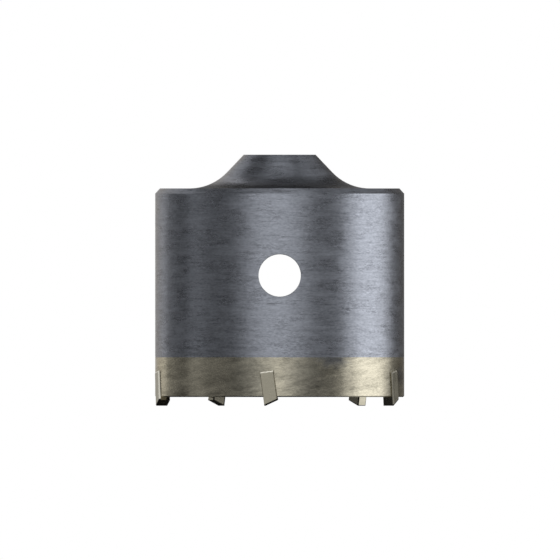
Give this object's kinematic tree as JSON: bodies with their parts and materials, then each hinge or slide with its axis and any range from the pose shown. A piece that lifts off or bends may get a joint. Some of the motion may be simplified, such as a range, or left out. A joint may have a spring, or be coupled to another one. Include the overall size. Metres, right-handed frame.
{
  "type": "core drill bit",
  "caption": "Hollow steel drill crown with leaning brazed carbide tips, a cross hole and a threaded boss for its drive shank.",
  "frame": {"origin": "on the drilling axis, in the plane of the cutting edges that the crown stands on", "axes": "+Z along the drilling axis, up towards the threaded boss; Y along the axis of the cross hole"},
  "size_m": [0.0673, 0.0676, 0.0677],
  "materials": {
    "blued_steel": "turned and blued, with a band at the rim ground bright",
    "carbide": "ground, matt",
    "braze": "dull, darkened by heat"
  },
  "bodies": {
    "root": {"crown_body": "blued_steel", "carbide_tip_1": "carbide", "carbide_tip_2": "carbide", "carbide_tip_3": "carbide", "carbide_tip_4": "carbide", "carbide_tip_5": "carbide", "braze_seam_1": "braze", "braze_seam_2": "braze", "braze_seam_3": "braze", "braze_seam_4": "braze", "braze_seam_5": "braze"}
  },
  "joints": []
}
